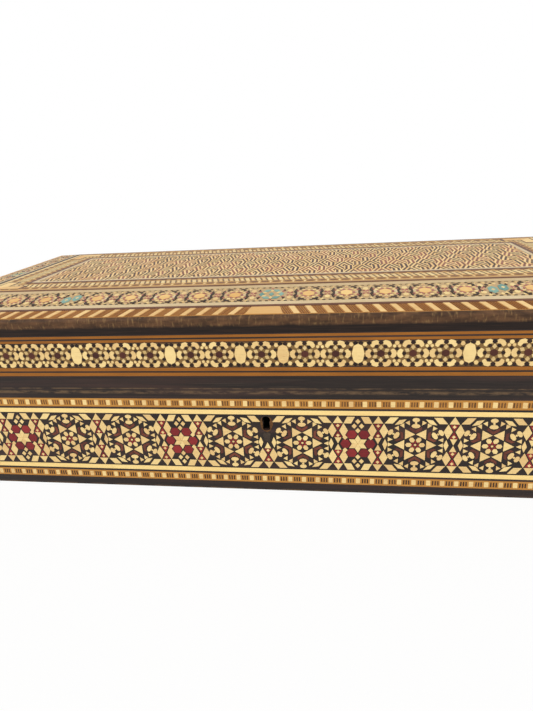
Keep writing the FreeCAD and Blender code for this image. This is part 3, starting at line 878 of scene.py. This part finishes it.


# Nosing: a black-stained moulding round the edge of the top board, rounded over along its upper arris.
# Its upper half is painted lighter, partly as wear rubbed and chipped down to gold-brown wood and partly as
# painted light where the moulding turns up to the lamps, and its lower half is still black.
low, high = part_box("lid_nosings")
nosing_ebony, place = new_finish("nosing_ebony")
run = round_the_box(place)
fibres = run.stretched(45, 1300, 1300).noise(1.0, 5.0, 0.6)
smudges = run.stretched(90, 260, 260).noise(1.0, 5.0, 0.65)
specks = run.stretched(900, 260, 260).noise(1.0, 3.0).ramp(0.52, 0.74)
# Upper half lighter: partly wear, partly painted light where the moulding faces up.
wear_and_painted_light = (place.axis("Z") + smudges * 1.2 * mm).ramp(low.z + 3.6 * mm, low.z + 5.2 * mm)
colour = fibres.ramp(0.3, 0.8).mix(srgb("19120f"), srgb("2f211a"))
colour = (wear_and_painted_light * (smudges.ramp(0.3, 0.7) * 0.8 + 0.2)).mix(colour, srgb("65472f"))
colour = (wear_and_painted_light * specks * 0.55).mix(colour, srgb("94754a"))
surface(nosing_ebony, colour, 0.34 + fibres * 0.2 + wear_and_painted_light * 0.1, fibres - wear_and_painted_light * smudges, 0.04 * mm,
        {"Specular IOR Level": 0.16})
dress(nosing_ebony, "lid_nosings")


# Rope banding: brown strips of fine slanted lines round the bevel, with a cream stripe at a steady pitch.
# The stripes lean away from a cream keystone in the middle of each side, and the lines left of it are paler,
# as a painted sheen.
nosing_depth = 2.0
rope_width = 8.4
bevel_width = 37.9
edge_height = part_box("lid_nosings")[1].z
top_height = cad_box[1].z
bevel_slope = math.atan2(top_height - edge_height, bevel_width * mm)
rope_brown = wood("rope_brown", "d19a57", "b07a41", 0.4)
rope_dark = wood("rope_dark", "9c6634", "784a25", 0.4, tiles=True)
rope_tan_painted_sheen = wood("rope_tan_painted_sheen", "bb854c", "966338", 0.4, tiles=True)
rope_cream = wood("rope_cream", "f0cb8a", "d3a25f", 0.36, tiles=True)
keystone_tile = wood("keystone_tile", "ecc07c", "cb954f", 0.36)
dress(rope_brown, "rope_bandings")


def bevel_place(side):
    """From the bench (along, up the bevel, out) to a side's bevel, with the bench's edge on the nosing."""
    return side_turn(side) @ Matrix.Translation((0, 0, edge_height)) @ Matrix.Rotation(bevel_slope, 4, "X")


def up_bevel(inwards):
    """Distance up the bevel to a place that lies so far inwards from the box's face."""
    return inwards / math.cos(bevel_slope)


stripe_pitch = 7.8
first_stripe = 13.9
keystone_aside = 1.8
keystone_flare = 1.9
stripe_width = 2.8
stripe_lean = 3.2
rope_length = rope_width - 0.5
hair_width = 0.42
mitre_gap = 0.3
rope_middle = up_bevel(nosing_depth + rope_width / 2)
left_stripe = leaning(rope_cream, stripe_width, rope_length, -stripe_lean)
right_stripe = leaning(rope_cream, stripe_width, rope_length, stripe_lean)
# The hairs left of the keystone are paler than those to its right: a painted sheen.
left_hair = leaning(rope_tan_painted_sheen, hair_width, rope_length, -stripe_lean)
right_hair = leaning(rope_dark, hair_width, rope_length, stripe_lean)
keystone = saw_tile(keystone_tile, "square", 14.0, rope_length,
                    (lambda spot: spot.y < 0 and spot.x < 0, (-keystone_flare, 0, 0)),
                    (lambda spot: spot.y < 0 and spot.x > 0, (keystone_flare, 0, 0)))
for half, pair in side_pairs:
    aside = keystone_aside if "front" in pair else 0.0
    tiles = [lay(keystone, aside, rope_middle)]
    for step in range(int(half / stripe_pitch) + 2):
        along = first_stripe + step * stripe_pitch
        tiles.append(lay(left_stripe, aside - along, rope_middle))
        tiles.append(lay(right_stripe, aside + along, rope_middle))
        for hair in (2.3, 3.37, 4.43, 5.5):
            tiles.append(lay(left_hair, aside - along + hair, rope_middle))
            tiles.append(lay(right_hair, aside + along - hair, rope_middle))
    run = saw_ends(glue(tiles), half - mitre_gap, math.cos(bevel_slope))
    for side in pair:
        set_on(run, side + "_rope_stripes", bevel_place(side), "lid")
clear_bench()


# Ornate bevel bands: gold stars in pink rims and black brackets, parted by cream beads, on a pale ground.
# Turquoise motifs of dyed bone stand in the middle and further out, and dark crumbs and pale and umber
# lines edge the bands.
mosaic_ground = wood("mosaic_ground", "cfb284", "a5855c", 0.38)
pale_line = wood("pale_line", "ddc89f", "bd9d6c", 0.36, tiles=True)
umber_line = wood("umber_line", "774a30", "4f2f20", 0.4)
gold_tile = wood("gold_tile", "f5d088", "dca75c", 0.34, tiles=True)
pink_tile = wood("pink_tile", "b9766c", "8f4a44", 0.36, tiles=True)
turquoise_tile = wood("turquoise_tile", "8aae9f", "56857d", 0.34, tiles=True)
star_pitch = 18.6
edge_pitch = star_pitch / 6
off_centre = 2.8
ornate_middle = up_bevel(24.8)
core = saw_tile(gold_tile, 6, 5.4, 6.4)
rim = saw_tile(pink_tile, 4, 3.0, 1.3)
star_petal = saw_tile(cream_tile, 4, 2.0, 2.6)
bracket = saw_tile(black_tile, 8, 3.4, 2.6, (lambda spot: spot.y < -1.0, (0, 1.1, 0)))
side_bracket = saw_tile(black_tile, 8, 2.5, 7.0, (lambda spot: spot.x > 1.0, (-1.5, 0, 0)))
pale_petal = saw_tile(pale_line, 4, 2.6, 4.0)
crumb = saw_tile(black_tile, 4, 1.5, 1.5)
edge_crumb = saw_tile(black_tile, 4, 1.7, 1.1)
clover = saw_tile(cream_tile, 8, 2.8, 3.6)
pink_dot = saw_tile(pink_tile, 4, 1.5, 1.7)
dark_tooth = saw_tile(black_tile, 3, 2.2, 1.9)
small_tooth = saw_tile(black_tile, 3, 1.8, 2.2)
cream_tooth = saw_tile(cream_tile, 3, 2.0, 1.8)
blue_ray = saw_tile(turquoise_tile, 4, 5.0, 2.9)
blue_middle = saw_tile(turquoise_tile, 4, 2.6, 4.6)
blue_hexagon = saw_tile(turquoise_tile, 6, 4.2, 8.2)
cream_ray = saw_tile(cream_tile, 4, 1.8, 3.2)
tiles = [lay(core, 0, 0)] + ring_of_six(rim, 3.6, 0)
tiles += ring_of_six(star_petal, 5.0, 30) + ring_of_six(star_petal, 5.2, 0)
tiles += [lay(bracket, x, y, turn) for x, y, turn in
          ((3.5, 6.1, -30), (-3.5, 6.1, 30), (-3.5, -6.1, 150), (3.5, -6.1, 210))]
tiles += [lay(side_bracket, x, 0, turn, 0.03) for x, turn in ((-6.7, 180), (6.7, 0))]
tiles += mirrored(pale_petal, 5.2, 0, lift=0.02) + ring_of_six(pink_dot, 6.2, 30, lift=0.02)
tiles += [lay(cream_tooth, 0, y, turn) for y, turn in ((-6.8, 0), (6.8, 180))]
gold_star = glue(tiles)
tiles = [lay(blue_middle, 0, 0)] + ring_of_six(blue_ray, 4.9, 0)
tiles += ring_of_six(cream_ray, 4.2, 30) + ring_of_six(pink_dot, 6.7, 30)
blue_star = glue(tiles)
tiles = [lay(blue_hexagon, x, y) for x, y in ((-2.5, -1.2), (2.5, 1.2))]
tiles += [lay(star_petal, x, y, lift=0.04) for x, y in ((-2.5, -1.2), (2.5, 1.2))]
tiles += mirrored(crumb, 2.2, 6.3)
tiles += [lay(dark_tooth, x, y, turn) for x, y, turn in
          ((-5.6, 2.6, 60), (5.6, -2.6, 240), (-4.4, 5.4, 0), (4.4, -5.4, 180))]
tiles += [lay(cream_tooth, x, y) for x, y in ((-2.6, 4.6), (2.6, -4.6))]
tiles += [lay(star_petal, x, y) for x, y in ((-0.6, 6.0), (0.6, -6.0))]
twin = glue(tiles)
tiles = mirrored(clover, 0, 4.0) + [lay(star_petal, 0, 0), lay(pink_dot, 0, 0, lift=0.04)]
for sign, turn in ((-1, 0), (1, 180)):
    tiles += [lay(cream_tooth, x, sign * 6.8, turn) for x in (-2.3, 2.3)]
    tiles += [lay(small_tooth, x, sign * 4.9, turn + 180) for x in (-3.0, 3.0)]
    tiles += [lay(pink_dot, x, sign * 1.6, lift=0.03) for x in (-0.9, 0.9)]
between = glue(tiles)


def lay_line(finish, half, height, width, lift=0.0):
    """A straight line along a whole side."""
    return lay(saw_tile(finish, "square", 2 * half, width), 0, height, 0, lift)


ornate_motifs = {"gold": gold_star, "blue": blue_star, "twin": twin}
ornate_order = [("gold", star_pitch)] * 5 + [("twin", 14.5), ("gold", 15.0)]
ornate_lines = ((umber_line, 11.45, 2.1), (pale_line, 14.3, 3.5), (pale_line, 34.9, 3.0),
                (umber_line, 37.4, 0.6))
for half, pair in side_pairs:
    aside = off_centre if "front" in pair else 0.0
    spots = [("blue", 0.0)]
    along = 0.0
    for kind, step in ornate_order:
        along += step
        spots.append((kind, along))
    while along < half:
        along += star_pitch
        spots.append(("gold", along))
    tiles = []
    for kind, along in spots:
        for sign in (-1, 1) if along else (1,):
            tiles.append(lay(ornate_motifs[kind], aside + sign * along, ornate_middle))
    stars = [along for kind, along in spots]
    for along, further in zip(stars, stars[1:]):
        tiles += [lay(between, aside + sign * (along + further) / 2, ornate_middle) for sign in (-1, 1)]
    for step in range(-int(half / edge_pitch), int(half / edge_pitch) + 1):
        spot = aside + (step + 0.5) * edge_pitch
        tiles += [lay(edge_crumb, spot, ornate_middle + height, lift=0.02) for height in (-8.1, 8.1)]
    tiles += [lay_line(finish, half, up_bevel(inwards), width) for finish, inwards, width in ornate_lines]
    run = saw_ends(glue(tiles), half - mitre_gap, math.cos(bevel_slope))
    for side in pair:
        dress(mosaic_ground, side + "_bevel_panel")
        set_on(run, side + "_bevel_mosaic", bevel_place(side), "lid")
clear_bench()


# Top border: a mitred gold frame with two rows of brown lenses, and between them a twist of cream strands.
# Pale gold angle pieces stand in its corners, an umber and a pale line part it from the centre, and a black
# and a cream line edge its two ends.
frame_gold = wood("frame_gold", "d2a45c", "ab7b3c", 0.38)
frame_brown = wood("frame_brown", "8d5d33", "643f22", 0.4, tiles=True)
slate_tile = wood("slate_tile", "6f5d48", "4a3a2b", 0.4, tiles=True)
dress(frame_gold, "top_border")


def top_place(side):
    """From the bench (along, inwards, up) to the flat top, with the bench's edge on a side's outer face."""
    return side_turn(side) @ Matrix.Translation((0, 0, top_height))


chain_pitch = 6.1
outer_row = bevel_width + 6.9
tick_row = outer_row - 1.0
chain_row = bevel_width + 13.0
inner_row = bevel_width + 18.5
outer_lens = saw_tile(frame_brown, 8, 4.6, 3.2)
inner_lens = saw_tile(frame_brown, 8, 4.4, 2.2)
tick = saw_tile(cream_tile, 4, 1.3, 4.8)
wide_strand = leaning(cream_tile, 2.1, 7.2, 2.0)
thin_strand = leaning(cream_tile, 1.4, 5.4, 1.5)
slat = leaning(slate_tile, 0.6, 6.4, 1.8)
long_edge = ((umber_line, 0.6, 1.2),)
end_edge = ((black_tile, 1.3, 2.6), (cream_tile, 3.8, 2.4))
frame_lines = ((umber_line, 20.9, 2.2), (pale_line, 23.3, 2.4))
for half, pair in side_pairs:
    tiles = []
    count = int((half - bevel_width) / chain_pitch) + 1
    for step in range(-count, count + 1):
        along = step * chain_pitch
        beside = along + chain_pitch / 2
        tiles += [lay(outer_lens, beside, outer_row), lay(inner_lens, beside, inner_row)]
        tiles.append(lay(tick, along, tick_row))
        tiles += [lay(wide_strand, along - chain_pitch / 4, chain_row), lay(slat, along, chain_row)]
        tiles += [lay(thin_strand, along + chain_pitch / 4, chain_row), lay(slat, beside, chain_row)]
    for finish, inwards, width in (long_edge if "front" in pair else end_edge) + frame_lines:
        tiles.append(lay_line(finish, half, bevel_width + inwards, width, lift=0.03))
    run = saw_ends(glue(tiles), half, 1.0)
    for side in pair:
        set_on(run, side + "_top_frame", top_place(side), "lid")
clear_bench()


# Corner angles: two pale gold arms with umber edges in each corner of the top border.
# The ends of the arms are sawn to a mitre, on which the two meet.
arm_length = 17.0
arm_width = 6.5
edging_length = 20.0
edging_width = 8.5
arm_row = bevel_width + 9.4


def mitred_arm(finish, length, width):
    """A strip with its right end cut back to a mitre."""
    return saw_tile(finish, "square", length, width, (lambda spot: spot.x > 0 and spot.y > 0, (-width, 0, 0)))


arm = mitred_arm(gold_tile, arm_length, arm_width)
edging = mitred_arm(umber_line, edging_length, edging_width)
for side in sides:
    reach = (half_width if side in ("front", "back") else half_depth) / mm
    corner = reach - arm_row
    right_arms = [lay(edging, corner + (edging_width - edging_length) / 2, arm_row, lift=0.05),
                  lay(arm, corner + (arm_width - arm_length) / 2, arm_row, lift=0.12)]
    left_arms = [lay(piece, 0, 0) for piece in right_arms]
    for piece in left_arms:
        piece.data.transform(Matrix.Scale(-1, 4, (1, 0, 0)))
        piece.data.flip_normals()
    set_on(glue(right_arms + left_arms), side + "_corner_arms", top_place(side), "lid")
clear_bench()


# Centre panel: small slices of sticks, sawn from glued bundles and laid in turn leaning, straight and leaning
# the other way. Dark, red-brown and olive sticks lie between cream ones on a tan ground, like a fine maze.
maze_ground = wood("maze_ground", "dc9d52", "b67939", 0.4)
maze_dark = wood("maze_dark", "563520", "301d11", 0.4, tiles=True)
maze_red = wood("maze_red", "96573a", "6c3b28", 0.38, tiles=True)
maze_olive = wood("maze_olive", "7c5d31", "523c20", 0.38, tiles=True)
maze_cream = wood("maze_cream", "fbdb9a", "e3b56f", 0.36, tiles=True)
dress(maze_ground, "top_centre_panel")
low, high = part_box("top_centre_panel")
panel_reach = high / mm
line_pitch = 2.6
slice_width = 2 * line_pitch
slice_depth = 12.0
stick_depth = 11.6
stick_width = 1.15
leans = (3.9, 0.0, -3.9)
stick_woods = (maze_dark, maze_red, maze_dark, maze_olive)
slices = []
for lean in leans:
    for finish in stick_woods:
        dark_stick = leaning(finish, stick_width, stick_depth, lean)
        cream_stick = leaning(maze_cream, stick_width, stick_depth, lean)
        tiles = [lay(dark_stick, place * line_pitch, 0) for place in (-1.5, -0.5, 0.5, 1.5)]
        tiles += [lay(cream_stick, place * line_pitch, 0) for place in (-2, -1, 0, 1, 2)]
        slices.append(saw_ends(glue(tiles), slice_width / 2))
across_count = int(panel_reach.x / slice_width) + 1
up_count = int(panel_reach.y / slice_depth) + 1
tiles = []
for across in range(-across_count, across_count + 1):
    for up in range(-up_count, up_count + 1):
        lean_number = (across + 2 * up) % len(leans)
        wood_number = int(1000 * abs(math.sin(13 * across + 78 * up))) % len(stick_woods)
        piece = slices[lean_number * len(stick_woods) + wood_number]
        tiles.append(lay(piece, across * slice_width, up * slice_depth))
normals = [Vector(normal) for normal in ((1, 0, 0), (-1, 0, 0), (0, 1, 0), (0, -1, 0))]
maze = saw_along(glue(tiles), [(normal * panel_reach, normal) for normal in normals])
set_on(maze, "maze_sticks", Matrix.Translation((0, 0, high.z)), "lid")
clear_bench()
bpy.data.collections.remove(bench)


# Lid lining: the same red velvet on card, glued under the top board and round the lid's walls.
# Its panels are cut and crowned like those of the body.
low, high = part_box("lid_top_lining")
ceiling = Matrix.Translation((0, 0, high.z)) @ Matrix.Rotation(math.pi, 4, "X")
velvet_panel("velvet_lid_top", high.x - low.x, high.y - low.y, ceiling, "lid", "lid_top_lining")
wall_panels("velvet_lid_", "lid_wall_linings", "lid")


# Studio: a plain pale floor that keeps the box's shadow, under a white backdrop.
# Two soft lamps light the box from the front, and the camera stands where the photo's perspective puts it.
bpy.ops.object.select_all(action="DESELECT")
bpy.ops.mesh.primitive_plane_add(size=12.0)
floor = bpy.context.object
floor.name = "studio_floor"
pale_floor, place = new_finish("pale_floor")
tree = pale_floor.node_tree
tree.nodes["Principled BSDF"].inputs["Base Color"].default_value = srgb("f4f2ee")
tree.nodes["Principled BSDF"].inputs["Roughness"].default_value = 0.9
seen = place.node("LightPath", {}, {}, "Is Camera Ray") + place.node("LightPath", {}, {}, "Is Glossy Ray")
glow = place.node("Emission", {}, {"Color": (1, 1, 1, 1), "Strength": 1.0})
plain = Value(tree, tree.nodes["Principled BSDF"].outputs[0])
away = (place.axis("X") * place.axis("X") + place.axis("Y") * place.axis("Y")).ramp(0.1, 0.6)
blend = place.node("MixShader", {}, {0: seen * (0.92 + 0.08 * away), 1: plain, 2: glow})
tree.links.new(blend.socket, tree.nodes["Material Output"].inputs["Surface"])
floor.data.materials.append(pale_floor)

world = bpy.data.worlds.new("studio")
bpy.context.scene.world = world
world.use_nodes = True
tree = world.node_tree
sky = tree.nodes["Background"]
start = Value(tree, sky.outputs[0])
ray_kinds = ("Is Camera Ray", "Is Glossy Ray", "Is Transmission Ray")
rays = [start.node("LightPath", {}, {}, kind) for kind in ray_kinds]
seen = (rays[0] + rays[1] + rays[2]).ramp(0.0, 1.0)
sky.inputs["Color"].default_value = (1, 1, 1, 1)
tree.links.new((seen * 0.4 + 0.6).socket, sky.inputs["Strength"])

lamps = (("key_lamp", (-0.7, -1.0, 1.3), 1.2, 12.0), ("fill_lamp", (0.9, -0.9, 0.8), 1.0, 6.0))
for name, place, size, power in lamps:
    lamp = bpy.data.lights.new(name, "AREA")
    lamp.size = size
    lamp.energy = power
    holder = bpy.data.objects.new(name, lamp)
    holder.location = place
    holder.rotation_euler = (Vector((0, 0, 0.05)) - Vector(place)).to_track_quat("-Z", "Y").to_euler()
    bpy.context.scene.collection.objects.link(holder)

# Camera, at the place and angle that the photo's perspective gives
photo_height = 711
focal_length = 509.5
camera_place = (0.0386, -0.3230, 0.1600)
yaw, pitch, roll = (math.radians(angle) for angle in (-9.26, 20.57, -3.68))
ahead = Vector((math.sin(yaw) * math.cos(pitch), math.cos(yaw) * math.cos(pitch), -math.sin(pitch)))
level_right = Vector((math.cos(yaw), -math.sin(yaw), 0))
level_up = level_right.cross(ahead)
right = math.cos(roll) * level_right + math.sin(roll) * level_up
up = math.cos(roll) * level_up - math.sin(roll) * level_right
camera_data = bpy.data.cameras.new("camera")
camera_data.sensor_width = 36.0
camera_data.lens = focal_length / photo_height * camera_data.sensor_width
camera_data.clip_start = 0.01
camera = bpy.data.objects.new("camera", camera_data)
camera.matrix_world = Matrix.Translation(camera_place) @ Matrix((right, up, -ahead)).transposed().to_4x4()
bpy.context.scene.collection.objects.link(camera)
bpy.context.scene.camera = camera
bpy.context.scene.view_settings.view_transform = "Standard"
